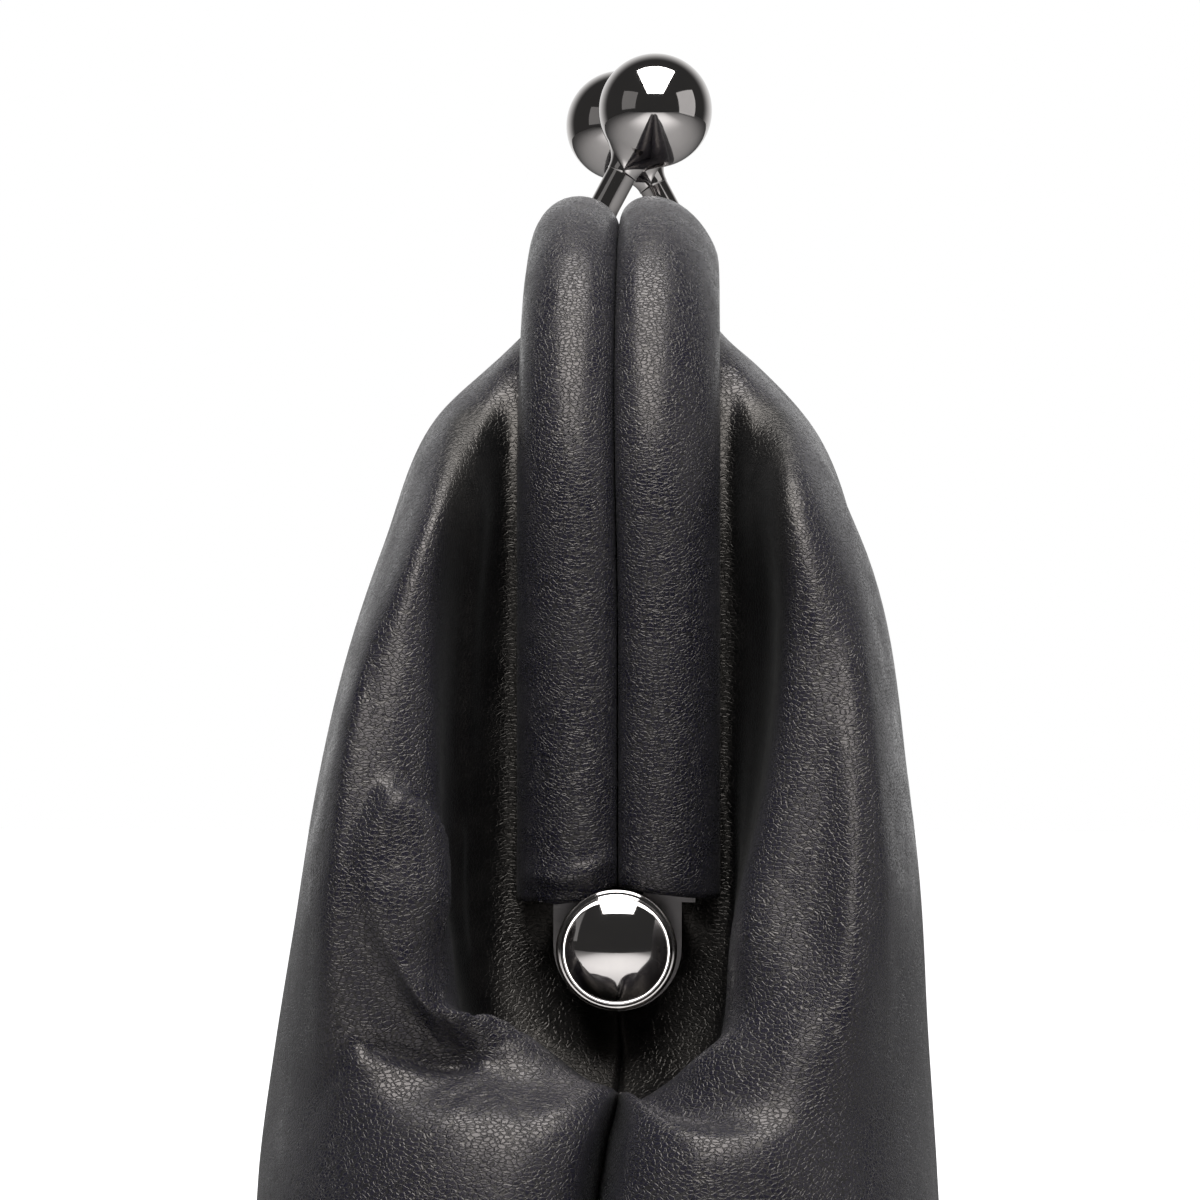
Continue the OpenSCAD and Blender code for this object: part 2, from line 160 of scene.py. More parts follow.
class Finish:
    """One procedural material."""

    def __init__(self, name, **constants):
        self.material = bpy.data.materials.new(name)
        self.material.use_nodes = True
        self.tree = self.material.node_tree
        self.shader = self.tree.nodes["Principled BSDF"]
        for socket, value in constants.items():
            self.shader.inputs[socket.replace("_", " ")].default_value = value
        self.place = self.add("ShaderNodeTexCoord")[3]

    def add(self, kind, settings=None, *values, **named):
        return add_node(self.tree, kind, settings, *values, **named)

    def scaled(self, x, y=None, z=None, turn=(0, 0, 0)):
        size = (x, y or x, z or x)
        return self.add("ShaderNodeMapping", None, self.place, Scale=size, Rotation=turn)[0]

    def noise(self, scale, detail=2.0, rough=0.5, place=None):
        return self.add("ShaderNodeTexNoise", None, Vector=place or self.place, Scale=scale,
                        Detail=detail, Roughness=rough)[0]

    def cells(self, scale, feature="F1", place=None):
        return self.add("ShaderNodeTexVoronoi", {"feature": feature}, Vector=place or self.place,
                        Scale=scale)[0]

    def between(self, value, low, high, a=0.0, b=1.0):
        """Value from low to high turned smoothly into a to b."""
        return self.add("ShaderNodeMapRange", {"interpolation_type": "SMOOTHSTEP"}, value,
                        low, high, a, b)[0]

    def mix(self, share, a, b):
        node = self.tree.nodes.new("ShaderNodeMix")
        node.data_type = "RGBA"
        for socket, value in (("Factor_Float", share), ("A_Color", a), ("B_Color", b)):
            target = next(i for i in node.inputs if i.identifier == socket)
            if isinstance(value, Val):
                self.tree.links.new(value.socket, target)
            else:
                target.default_value = (*value, 1) if hasattr(value, "__len__") else value
        return Val(self.tree, next(o for o in node.outputs if o.identifier == "Result_Color"))

    def feed(self, socket, value):
        self.tree.links.new(value.socket, self.shader.inputs[socket])

    def bump(self, height, depth):
        """Feeds a height, whose range is depth metres, into the normal."""
        self.feed("Normal", self.add("ShaderNodeBump", None, Height=height, Strength=1.0,
                                     Distance=depth)[0])


def nappa(name, pore, wear):
    """Soft black nappa: fine pores, faint creasing, a violet cast and a low waxy sheen. Where the recess
    mask is set, painted shade darkens the base colour to near black, the grain bump is halved and the
    roughness changes a little."""
    f = Finish(name, IOR=1.46, Specular_Tint=(1, 0.925, 0.85, 1), Sheen_Weight=0.02,
               Sheen_Roughness=0.5)
    soft = f.noise(90, 3, 0.55)
    recess_shade = f.add("ShaderNodeAttribute", {"attribute_name": "recess_shade"})[2]
    warp = f.add("ShaderNodeTexNoise", None, Vector=f.place, Scale=800, Detail=2.0)[1]
    bent = f.add("ShaderNodeVectorMath", {"operation": "ADD"}, f.scaled(pore, pore * 0.6, pore),
                 f.add("ShaderNodeVectorMath", {"operation": "SCALE"}, warp, Scale=1.2)[0])[0]
    pits = f.between(f.cells(1.0, "DISTANCE_TO_EDGE", bent), 0.01, 0.17) * f.between(
        f.cells(1.6, "F1", bent), 0.02, 0.24)
    grain = pits * 0.95 + f.noise(pore * 2.4, 2, 0.5) * 0.2
    f.bump(grain * (1.0 - recess_shade * 0.5) + soft * 0.5, 0.000042)
    tone = f.mix(soft, (0.0050, 0.0044, 0.0098), (0.0080, 0.0074, 0.0136))
    worn = f.mix(pits, (0.004, 0.004, 0.005), tone)
    # Painted shade: the base colour goes near black where the recess mask is set
    f.feed("Base Color", f.mix(recess_shade, worn, (0.0008, 0.0008, 0.001)))
    handled = f.between(f.noise(260, 3, 0.6), 0.25, 0.75, 0.33 - wear, 0.385)
    f.feed("Roughness", handled + recess_shade * 0.05 + (1.0 - pits) * (1.0 - recess_shade) * 0.19)
    return f.material


def gunmetal():
    """Dark polished chrome with faint waviness and handling haze."""
    f = Finish("dark_chrome", Metallic=1.0)
    haze = f.noise(420, 4, 0.6)
    f.feed("Base Color", f.mix(haze, (0.50, 0.475, 0.46), (0.40, 0.38, 0.375)))
    f.feed("Roughness", f.between(haze, 0.3, 0.8, 0.035, 0.085))
    f.bump(f.noise(160, 2, 0.4), 0.000012)
    return f.material


def plated_steel(name, tone, rough):
    """Pressed and plated steel with drawn lines and dulled patches."""
    f = Finish(name, Metallic=1.0)
    lines = f.noise(1.0, 3, 0.6, f.scaled(900, 900, 9000))
    patches = f.noise(130, 4, 0.6)
    f.feed("Base Color", f.mix(patches, tone, tuple(0.6 * c for c in tone)))
    f.feed("Roughness", f.between(lines, 0.2, 0.8, rough, rough + 0.16))
    f.bump(lines, 0.000012)
    return f.material


def foam():
    """Open cell foam, slightly yellowed."""
    f = Finish("foam", Roughness=0.95)
    cells = f.cells(2600)
    f.bump(cells, 0.0002)
    f.feed("Base Color", f.mix(f.noise(300), (0.50, 0.46, 0.38), (0.64, 0.60, 0.52)))
    return f.material


def paper_cord():
    """Twisted kraft paper."""
    f = Finish("paper_cord", Roughness=0.85)
    fibre = f.noise(1.0, 4, 0.65, f.scaled(1500, 1500, 7000))
    f.feed("Base Color", f.mix(fibre, (0.32, 0.22, 0.12), (0.52, 0.39, 0.24)))
    f.bump(fibre, 0.00008)
    return f.material


def lining_cloth():
    """Charcoal twill."""
    f = Finish("lining_cloth", Roughness=0.8, Sheen_Weight=0.25)
    spun = f.scaled(1, 1, 1, (0, 0.6, 0.4))
    split = f.add("ShaderNodeSeparateXYZ", None, f.place)
    twill = ((split[0] + split[1] * 0.8 + split[2] * 1.1) * 13000.0).sin() * 0.5 + 0.5
    cross = ((split[0] - split[2] + split[1] * 0.5) * 9000.0).sin() * 0.5 + 0.5
    thread = twill * 0.7 + cross * 0.3
    tone = f.mix(thread, (0.022, 0.023, 0.028), (0.060, 0.062, 0.072))
    f.feed("Base Color", f.mix(f.between(f.noise(2400, 3, 0.6, spun), 0.35, 0.75), tone,
                               (0.045, 0.046, 0.055)))
    f.bump(thread, 0.00009)
    return f.material


def fibre_board():
    """Pressed fibre board."""
    f = Finish("stiffener", Roughness=0.9)
    fleck = f.noise(1.0, 5, 0.7, f.scaled(900, 2600, 2600))
    f.feed("Base Color", f.mix(fleck, (0.20, 0.15, 0.10), (0.42, 0.34, 0.25)))
    f.bump(fleck, 0.0001)
    return f.material


def sewing_thread():
    """Bonded charcoal thread with its twist."""
    f = Finish("sewing_thread", Roughness=0.55)
    twist = (f.add("ShaderNodeSeparateXYZ", None, f.scaled(9000))[0]
             + f.add("ShaderNodeSeparateXYZ", None, f.scaled(7000))[2]).sin()
    f.feed("Base Color", f.mix(twist * 0.5 + 0.5, (0.05, 0.05, 0.055), (0.11, 0.11, 0.12)))
    f.bump(twist, 0.00004)
    return f.material


POUCH_LEATHER = nappa("pouch_leather", 3300, 0.10)
SLEEVE_LEATHER = nappa("sleeve_leather", 3700, 0.13)
THREAD = sewing_thread()
DARK_CHROME = gunmetal()
FRAME_STEEL = plated_steel("frame_steel", (0.16, 0.15, 0.15), 0.3)
RIVET_STEEL = plated_steel("rivet_steel", (0.62, 0.60, 0.58), 0.28)
FOAM = foam()
PAPER_CORD = paper_cord()
LINING_CLOTH = lining_cloth()
STIFFENER = fibre_board()

# Meshes


def make_piece(name, vertices, faces, material):
    """A mesh object from millimetres."""
    mesh = bpy.data.meshes.new(name)
    mesh.from_pydata((np.asarray(vertices) * MM).tolist(), [], faces)
    mesh.materials.append(material)
    mesh.polygons.foreach_set("use_smooth", [True] * len(mesh.polygons))
    mesh.update()
    piece = bpy.data.objects.new(name, mesh)
    bpy.context.scene.collection.objects.link(piece)
    return piece


def grid_faces(rows, cols, start=0, closed=False, flip=False):
    """Faces between the points of a grid, whose rows may be closed rings."""
    faces = []
    for i in range(rows - 1):
        for j in range(cols if closed else cols - 1):
            a = start + i * cols + j
            b = start + i * cols + (j + 1) % cols
            c = start + (i + 1) * cols + (j + 1) % cols
            d = start + (i + 1) * cols + j
            faces.append((a, d, c, b) if flip else (a, b, c, d))
    return faces


def half_round(points):
    """Points of a front piece turned round to the rear."""
    return points * np.array([-1, -1, 1])


def hermite(a, b, ta, tb, t):
    """Cubic from a to b with the slopes ta and tb."""
    t2, t3 = t * t, t * t * t
    return (a * (2 * t3 - 3 * t2 + 1) + ta * (t3 - 2 * t2 + t) + b * (3 * t2 - 2 * t3)
            + tb * (t3 - t2))


def through(points, at):
    """Smooth curves through points [n, ..., 3], read at places 0 to n - 1."""
    gap = np.maximum(np.linalg.norm(np.diff(points, axis=0), axis=-1, keepdims=True), 1e-6)
    slope = np.diff(points, axis=0) / gap
    tangent = np.empty_like(points)
    tangent[0], tangent[-1] = slope[0], slope[-1]
    tangent[1:-1] = (slope[:-1] * gap[1:] + slope[1:] * gap[:-1]) / (gap[:-1] + gap[1:])
    i = np.clip(np.floor(at).astype(int), 0, len(points) - 2)
    t = (at - i).reshape((-1,) + (1,) * (points.ndim - 1))
    return hermite(points[i], points[i + 1], tangent[i] * gap[i], tangent[i + 1] * gap[i], t)


def normals_of(grid):
    """Unit normals of a grid of points, by central differences."""
    du = np.gradient(grid, axis=0)
    dv = np.gradient(grid, axis=1)
    n = np.cross(du, dv)
    return n / np.maximum(np.linalg.norm(n, axis=-1, keepdims=True), 1e-9)


def walled_piece(name, outer, inner, material):
    """A wall between two grids of points, closed along its edges."""
    rows, cols = outer.shape[:2]
    n = rows * cols
    faces = grid_faces(rows, cols, flip=True) + grid_faces(rows, cols, n)
    edge = ([(0, j) for j in range(cols)] + [(i, cols - 1) for i in range(1, rows)]
            + [(rows - 1, j) for j in range(cols - 2, -1, -1)]
            + [(i, 0) for i in range(rows - 2, 0, -1)])
    ring = [i * cols + j for i, j in edge]
    for a, b in zip(ring, ring[1:] + ring[:1]):
        faces.append((a, b, b + n, a + n))
    points = np.concatenate([outer.reshape(-1, 3), inner.reshape(-1, 3)])
    return make_piece(name, points, faces, material)


def sheet_piece(name, grid, thick, material, recess_shade=None):
    """A sheet with a wall, from the grid of its outer face."""
    piece = walled_piece(name, grid, grid - normals_of(grid) * thick, material)
    # A mask of painted shade, if given, is stored on the points for the leather's colour
    if recess_shade is not None:
        mark = piece.data.attributes.new("recess_shade", "FLOAT", "POINT")
        mark.data.foreach_set("value", np.tile(recess_shade.reshape(-1), 2))
    return piece


def sweep_piece(name, rings, material):
    """A closed tube through rings [n, m, 3] of points."""
    n, m = rings.shape[:2]
    faces = grid_faces(n, m, closed=True)
    faces.append(tuple(range(m))[::-1])
    faces.append(tuple(range((n - 1) * m, n * m)))
    return make_piece(name, rings.reshape(-1, 3), faces, material)


def lathe_rings(profile, origin, axis, side, segments):
    """Rings of points round an axis. Profile is [radius, distance along the axis]."""
    axis = np.asarray(axis, float)
    side = np.asarray(side, float)
    other = np.cross(axis, side)
    turn = np.linspace(0, 2 * math.pi, segments, endpoint=False)
    ring = np.cos(turn)[:, None] * side + np.sin(turn)[:, None] * other
    return np.array([np.asarray(origin) + h * axis + max(r, 1e-3) * ring for r, h in profile])


def rounded(points, radius, steps=4):
    """A profile whose inner corners are rounded."""
    out = [points[0]]
    for before, at, after in zip(points, points[1:], points[2:]):
        at = np.array(at, float)
        back = np.array(before, float) - at
        ahead = np.array(after, float) - at
        r = min(radius, 0.45 * np.linalg.norm(back), 0.45 * np.linalg.norm(ahead))
        a = at + back / np.linalg.norm(back) * r
        b = at + ahead / np.linalg.norm(ahead) * r
        for t in np.linspace(0, 1, steps):
            out.append(tuple((1 - t) ** 2 * a + 2 * t * (1 - t) * at + t * t * b))
    out.append(points[-1])
    return out


# Pouch shape

END_HALF = 118.0
FACE_HALF = 31.5
END_R = 45.0
LINING_IN = 2.6
LEATHER = 1.3
SLEEVE_WALL = 0.75
CLOTH = 0.5
BASE_LEATHER_TOP = 1.45
BOARD_LOW = 1.6
BOARD_TOP = 3.05
BASE_CLOTH_LOW = 3.2
POCKET_HALF = 46.0
POCKET_LOW = 26.0
POCKET_TOP = 74.0
HEM = 1.6
STITCH = 2.6
# Where the edges of the leather and lining sit along the frame
EDGE_U = -2.0
EDGE_X = LEG_X + EDGE_U
EDGE_Z = BAR_Z + EDGE_U
EDGE_CORNER = (CORNER_R + EDGE_U) * math.sqrt(0.5)
EDGE_Y = 4.85
# Share of the join height, drawn in at the folded end and at the faces, depth of the end
# crease, drawn in at the full end, squareness of the end
LEVELS = np.array([
    [0.0, 12.4, 7.0, 0, 12.4, 2.0], [0.018, 11, 5.5, 0, 11, 2.0], [0.05, 8.6, 3.2, 0, 8.6, 2.1],
    [0.12, 5.5, 1.2, 0.2, 5.5, 2.2], [0.3, 1.8, 0.2, 0.8, 1.8, 2.3], [0.5, 0.2, 0, 2.2, 0.2, 2.5],
    [0.7, 0, 0.2, 4.6, -0.6, 2.8], [0.86, 1.0, 0.8, 6.8, 0, 3.0], [0.94, 3.2, 1.1, 7.4, 1.6, 3.1],
    [1, 5.8, 1.5, 7.6, 3.0, 3.1]])


def level(share, column):
    """A column of the levels at a share of the join height."""
    return np.interp(share, LEVELS[:, 0], LEVELS[:, column])


def slimming(x):
    """How much a face narrows away from its middle, most towards the full end."""
    return np.where(x < 0, 0.055, 0.008) * np.minimum(np.abs(x), 68)


def outline(q, z, inset=0.0):
    """Front half outline at a height: q from 0 in the middle to 1 at the side seam. The
    full end, at -X, is slimmer than the folded one."""
    share = z / JOIN_Z
    fuller = np.where(q < 0, level(share, 1) - level(share, 4), 0)
    end_half = END_HALF - inset - level(share, 1) + fuller
    face_half = FACE_HALF - inset - level(share, 2)
    pinch = level(share, 3) + fuller
    rx, run = END_R, end_half - END_R
    power = 2 / level(share, 5)
    total = run + (rx + face_half) * 0.786
    s = np.abs(q) * total
    a = np.radians(np.clip((s - run) / (total - run) * 90, 0, 90))
    x = np.where(s < run, s, run + rx * np.sin(a) ** power)
    slim = slimming(np.where(q < 0, -x, x))
    y = (face_half - slim) * np.where(s < run, 1, np.maximum(np.cos(a), 0) ** power)
    groove = 1 - np.sqrt(1 - np.clip(1 - y / 8.5, 0, 1) ** 2)
    x = x - pinch * groove
    return np.stack([np.where(q < 0, -x, x), -np.maximum(y, 0.01), np.full_like(x, z)], -1)


def bar_station(x, slim):
    """Points, as length, depth and height, from the bar over the face of the pouch."""
    return [(x, EDGE_Y, EDGE_Z), (x, 9.05, 152.85), (x, 11.6, 150.6), (x, 16.6, 145.0),
            (x, 22.8 - 0.024 * x, 133.0), (1.04 * x, 28.0 - slim * x, 113.0)]


def leg_station(z, *crest):
    """Points from a leg's channel out over the lobe beside it."""
    return [(EDGE_X, EDGE_Y, z), (86.55, 9.25, z - 0.2), *crest]


def corner_station(*crest):
    """Points from the middle of a corner out over the top of the lobe."""
    return [(BAR_HALF + EDGE_CORNER, EDGE_Y, LEG_TOP + EDGE_CORNER),
            (BAR_HALF + 14.8, 9.05, LEG_TOP + 13.4), *crest]


UNDER_LUG = [(86.25, 4.4, 100), (88.25, 7.4, 97.4)]
SEAM_END = [(86.25, 0.01, 97.6), (88.5, 0.01, 92.6), (91.5, 0.01, 88.6), (95.5, 0.01, 86.8),
            (99.5, 0.01, 89), (102, 0.01, 91.4)]
FOLDED_END = [
    corner_station((82.5, 11.6, 147.0), (86.5, 14.4, 143.6), (91, 19.2, 133), (95.5, 24.4, 113)),
    leg_station(136.5, (91, 11.8, 137.6), (95, 13.8, 137), (99.5, 19.2, 127), (103, 23.4, 109)),
    leg_station(129, (90.5, 12.4, 128.6), (98.5, 14.6, 128.6), (102.5, 19.4, 120.6), (106.2, 21.8, 104)),
    leg_station(121, (90, 12.8, 120.6), (100.5, 14.4, 120), (105, 19, 112.6), (106, 19.8, 100)),
    leg_station(114, (90, 13, 113.4), (102, 14, 112), (106.4, 17.6, 105), (105.6, 17, 96.8)),
    leg_station(107, (90, 12.6, 105.2), (103, 13.2, 104), (107, 14.6, 99.6), (104.6, 12.6, 95)),
    UNDER_LUG + [(91.5, 8.4, 92), (97.5, 8.6, 91.6), (103.4, 8.8, 97.6), (104.6, 7.6, 94.6)],
    SEAM_END]
FULL_END = [
    corner_station((83, 11.2, 147.4), (87, 14.8, 144.0), (91, 19.4, 134), (95, 22.8, 113)),
    leg_station(136.5, (90, 11.0, 137.4), (96, 13.4, 137.5), (99, 18.2, 128.5), (103, 21.2, 111)),
    leg_station(129, (89.5, 11.8, 128.8), (98, 13.4, 128.8), (102, 17.2, 121.4), (106.5, 20.2, 105)),
    leg_station(121, (90, 11.4, 120.6), (100.5, 12.8, 120.4), (104.6, 16.6, 112.6), (109, 18.6, 101)),
    leg_station(114, (90.5, 10.6, 113.4), (103, 11.6, 112.4), (106.6, 15.2, 105.2), (110.2, 16.4, 97.2)),
    leg_station(107, (92, 9.6, 105.6), (105, 9.8, 104.6), (108, 12.2, 99.6), (111, 12.4, 94)),
    UNDER_LUG + [(91.5, 7.4, 92.6), (99.5, 6.6, 92.6), (106, 6.2, 95), (109, 5.4, 91.6)],
    SEAM_END]
BAR_FOOT = 0.52
FEET = [BAR_FOOT / 3, 2 * BAR_FOOT / 3, BAR_FOOT, 0.655, 0.74, 0.768, 0.797, 0.838, 0.888, 0.946, 1]
FOOT_ROWS = [1.0, 0.93, 0.84, 0.7, 0.5, 0.3, 0.12, 0.05, 0.018, 0.0]
UPPER_ROWS = 6
END_STATIONS = len(FOLDED_END)
STATION_COUNT = len(FEET)


def lining_end():
    """Stations of the lining, which passes straight down inside the lobes of the leather."""
    legs = [[(EDGE_X, 3.55, z), (84.3, 7.6, z - 1.5), (86, 13.2, z - 5), (90, 15.2, z - 10),
             (94, 15.4, max(z - 17, 89)), (97, 15.2, max(z - 27, 84))]
            for z in (136.5, 129, 121, 114, 107)]
    corner = [(BAR_HALF + EDGE_CORNER, 3.55, LEG_TOP + EDGE_CORNER), (BAR_HALF + 14.2, 5.6, LEG_TOP + 10.6),
              (BAR_HALF + 13.6, 8.8, 142), (81, 13, 135), (85, 17.5, 126), (89, 20.5, 111)]
    return [corner, *legs,
            [(86.25, 4.4, 99), (83.6, 6.4, 95), (85.6, 7.6, 90), (88.6, 7.4, 86), (92, 7, 83.2),
             (95.5, 6.6, 81.6)],
            [(84.5, 0.5, 94.5), (85.4, 0.5, 89.4), (87, 0.5, 85.6), (89.6, 0.5, 82.8), (92.6, 0.5, 81.2),
             (95.5, 0.5, 80.4)]]


def lining_bar(x, slim):
    """Points of the lining, from the bar down behind the face."""
    return [(x, 3.55, EDGE_Z), (x, 5.4, 153.4), (x, 8.4, 149.0), (x, 13.2, 143.0),
            (x, 19.6 - 0.024 * x, 131.0), (1.02 * x, 25.0 - slim * x, 112.0)]


def pouch_grid(bar, ends, inset, shares, per_bar, per_end, per_upper, per_lower):
    """Outer face of the front half: [rows down, columns from -X to +X, 3], with the place
    of each row."""
    right, left = (
        np.array([bar(k * BAR_HALF / 3, slim) for k in (1, 2, 3)] + end) * (way, -1, 1)
        for slim, end, way in ((0.022, ends[0], 1), (0.049, ends[1], -1)))
    middle = np.array([bar(0, 0)]) * (1, -1, 1)
    stations = np.concatenate([left[::-1], middle, right])
    feet = np.array([-f for f in FEET[::-1]] + [0] + FEET)
    along = np.concatenate([
        np.linspace(-STATION_COUNT, -3, END_STATIONS * per_end, endpoint=False),
        np.linspace(-3, 3, 6 * per_bar, endpoint=False),
        np.linspace(3, STATION_COUNT, END_STATIONS * per_end + 1)])
    upper = through(stations, along + STATION_COUNT).transpose(1, 0, 2)
    q = np.clip(through(feet[:, None], along + STATION_COUNT)[:, 0], -1, 1)
    lower = np.array([outline(q, share * JOIN_Z, inset) for share in shares])
    net = np.concatenate([upper, lower])
    down = np.concatenate([
        np.linspace(0, UPPER_ROWS, UPPER_ROWS * per_upper, endpoint=False),
        np.linspace(UPPER_ROWS, len(net) - 1, (len(shares) - 1) * per_lower + 1)])
    grid = through(net, down)
    grid[..., 1] = np.minimum(grid[..., 1], -0.01 - 0.2 * inset)
    return grid, down


def lean_crease(grid):
    """The full lobe presses the crease of each end over to the folded one."""
    heights = [40, 60, 75, 84.4, 88, 90, 93, 96]
    shift = np.interp(grid[..., 2], heights, [0, -0.8, -1.5, -1.2, -0.55, 0, 0.7, 0])
    near = ease((np.abs(grid[..., 0]) - 84) / 10) * np.exp(-(grid[..., 1] / 10) ** 2)
    grid[..., 1] += np.sign(grid[..., 0]) * shift * near
    return grid


def along_line(seen, line):
    """Distance of each point to a line on the picture, the share of the line passed there,
    and the side: positive on the right hand of its run."""
    line = np.array(line, float)
    best = np.full(seen.shape[:-1], 1e9)
    share = np.zeros_like(best)
    side = np.ones_like(best)
    lengths = np.linalg.norm(np.diff(line, axis=0), axis=1)
    passed = np.concatenate([[0], np.cumsum(lengths)])
    for a, b, length, before in zip(line, line[1:], lengths, passed):
        way = (b - a) / length
        rel = seen - a
        t = np.clip(rel @ way, 0, length)
        gap = rel - t[..., None] * way
        d = np.linalg.norm(gap, axis=-1)
        near = d < best
        best = np.where(near, d, best)
        share = np.where(near, (before + t) / passed[-1], share)
        side = np.where(near, np.sign(way[0] * gap[..., 1] - way[1] * gap[..., 0]), side)
    return best, share, side


def ease(t):
    """Smooth step from 0 to 1."""
    t = np.clip(t, 0, 1)
    return t * t * (3 - 2 * t)


def crease(seen, line, width, depth, ends=0.25):
    """A groove, or for a negative depth a ridge, that fades to both ends."""
    d, share, _ = along_line(seen, line)
    fade = ease(share / ends) * ease((1 - share) / ends)
    return -depth * fade * np.exp(-(d / width) ** 2)


def bulge(seen, line, edge, reach, height, side, start=0.2, end=0.2):
    """Leather that swells on one side of a line, steeply at the line."""
    d, share, where = along_line(seen, line)
    signed = d * where * side
    fade = ease(share / start) * ease((1 - share) / end)
    return height * fade * ease(signed / edge + 0.5) * np.exp(-(np.maximum(signed, 0) / reach) ** 2)


CHEEK = [(374, 776), (392, 785), (410, 796), (427, 812), (438, 834), (443, 862), (444, 900),
         (443, 935), (441, 968)]
TUCK = [(345, 1036), (372, 1049), (400, 1056), (425, 1063), (447, 1067), (470, 1064), (488, 1052)]
FINE_CREASES = [
    ([(458, 1062), (446, 1030), (434, 985)], 4, 0.45),
    ([(446, 1060), (428, 1035), (412, 1008)], 4, 0.35),
    ([(468, 1060), (470, 1030), (480, 998)], 4, 0.45),
    ([(478, 1057), (492, 1034), (508, 1010)], 4, 0.4),
    ([(488, 1054), (510, 1036), (534, 1016)], 4, 0.3),
    ([(432, 1092), (450, 1086), (474, 1074)], 3.5, 0.2),
    ([(440, 1108), (462, 1098), (482, 1082)], 3.5, 0.2),
    ([(456, 1122), (474, 1112), (492, 1094)], 3.5, 0.16),
    ([(382, 1062), (396, 1074), (418, 1082)], 4, 0.25),
    ([(368, 1058), (380, 1074), (396, 1088)], 4, 0.18)]
RECESS_RIDGES = [
    ([(460, 815), (458, 880), (461, 940), (470, 968)], 7, -0.6),
    ([(488, 470), (474, 600), (470, 720), (476, 800)], 9, -0.5),
    ([(508, 440), (500, 560), (498, 700)], 7, -0.35)]


def waves(points, seed, scale, count=7):
    """Slow seeded undulation in space, about -1 to 1."""
    rng = np.random.default_rng(seed)
    total = 0
    for _ in range(count):
        way = rng.normal(size=3)
        way *= (0.6 + 0.8 * rng.random()) * 2 * math.pi / scale / np.linalg.norm(way)
        total = total + np.sin(points @ way + rng.random() * 6.3)
    return total / count ** 0.5


def folds_in(grid, down, seed):
    """How far each point of the front half's leather moves out along its normal."""
    rows = np.broadcast_to(down[:, None], grid.shape[:2])
    seen = seen_at(grid)
    near = ease((grid[..., 0] - 86) / 6)
    lobe_part = near * ease((rows - 2.4) / 1.0)
    recess = near * ease((3.4 - rows) / 0.5) * ease((rows - 0.8) / 0.5)
    out = bulge(seen, CHEEK, 9, 70, 1.9, 1, 0.14, 0.36) + crease(seen, CHEEK[:4], 5, 0.5, 0.4)
    out = out + crease(seen, TUCK, 9, 1.1) + bulge(seen, TUCK, 18, 80, 0.8, 1)
    for line, width, depth in FINE_CREASES:
        out = out + crease(seen, line, width, 0.7 * depth)
    inner = 0
    for line, width, depth in RECESS_RIDGES:
        inner = inner + crease(seen, line, width, depth, 0.15)
    calm = ease((rows - 1) / 2)
    return lobe_part * out + recess * inner + calm * 0.28 * waves(grid, seed, 34)


def pouch_leather(name, rear):
    """The leather of one half, in one piece from the base to the frame."""
    grid, down = pouch_grid(bar_station, (FOLDED_END, FULL_END), 0, FOOT_ROWS, 6, 13, 14, 7)
    grid = grid + normals_of(grid) * folds_in(grid, down, 11 if rear else 5)[..., None]
    grid[..., 1] = np.minimum(grid[..., 1], -0.01)
    grid = lean_crease(grid)
    grid[..., 2] = np.maximum(grid[..., 2], 0.02)
    # The recess beside the legs, whose depth along X grows under the hinge, where painted shade darkens the
    # leather's colour
    x, y = np.abs(grid[..., 0]), np.abs(grid[..., 1])
    deep = 101.5 + 4 * ease((97 - grid[..., 2]) / 3) * ease((9 - y) / 3)
    recess_shade = ease((deep - x) / 5) * ease((x - 82) / 3) * ease((15.5 - y) / 2.5)
    if rear:
        grid = half_round(grid)
    return sheet_piece(name, grid, LEATHER, POUCH_LEATHER, recess_shade)


def pouch_lining(name, rear):
    """The lining of one half, in one piece from the base to the frame."""
    end = lining_end()
    grid, down = pouch_grid(lining_bar, (end, end), LINING_IN, FOOT_ROWS[1:-1], 4, 6, 8, 6)
    grid = grid + normals_of(grid) * (0.5 * ease((down - 2) / 3)[:, None] * waves(grid, 21, 26))[..., None]
    grid = lean_crease(grid)
    grid[..., 2] = np.maximum(grid[..., 2], 3.6)
    if rear:
        grid = half_round(grid)
    return sheet_piece(name, grid, CLOTH, LINING_CLOTH)


# Base and pocket


def foot_ring(z, inset):
    """Closed line of the pouch at a low height, drawn in by an inset."""
    half = outline(np.linspace(-1, 1, 161), z, inset)[:-1, :2]
    return np.concatenate([half, -half])


def foot_slab(name, inset, low, high, edge, material):
    """A flat piece inside the foot of the pouch, with rounded edges."""
    rings = []
    for drawn_in, z in rounded([(3 * edge, low), (0, low), (0, high), (3 * edge, high)], edge, 5):
        ring = foot_ring(low, inset + drawn_in)
        rings.append(np.column_stack([ring, np.full(len(ring), z)]))
    return sweep_piece(name, np.array(rings), material)


def base_cloth():
    """Lining laid on the stiffener, slightly rucked."""
    ring = foot_ring(3.4, LINING_IN + 0.8)
    shares = np.concatenate([[0.02], np.linspace(0.08, 1, 22)])
    rings = []
    for low, order in ((BASE_CLOTH_LOW, shares), (BASE_CLOTH_LOW + CLOTH, shares[::-1])):
        for share in order:
            flat = np.column_stack([ring * share, np.zeros(len(ring))])
            rise = np.maximum(0.22 * (1 + waves(flat, 8, 30)) * (1 - share ** 6), 0)
            rings.append(np.column_stack([ring * share, low + rise]))
    return sweep_piece("base_cloth", np.array(rings), LINING_CLOTH)


def pocket_face(x, z, lift):
    """Points on the inside of the front lining, in front coordinates."""
    y = slimming(x) + LINING_IN - FACE_HALF + level(z / JOIN_Z, 2)
    on = np.stack([x, y, z], -1)
    on[..., 1] += CLOTH + lift - 0.5 * waves(on, 21, 26)
    return on


def pocket_gape(x, z):
    """How far the top of the pocket stands open."""
    return 2.4 * (1 - (x / POCKET_HALF) ** 2) * ease((z - 44) / (POCKET_TOP - 44))


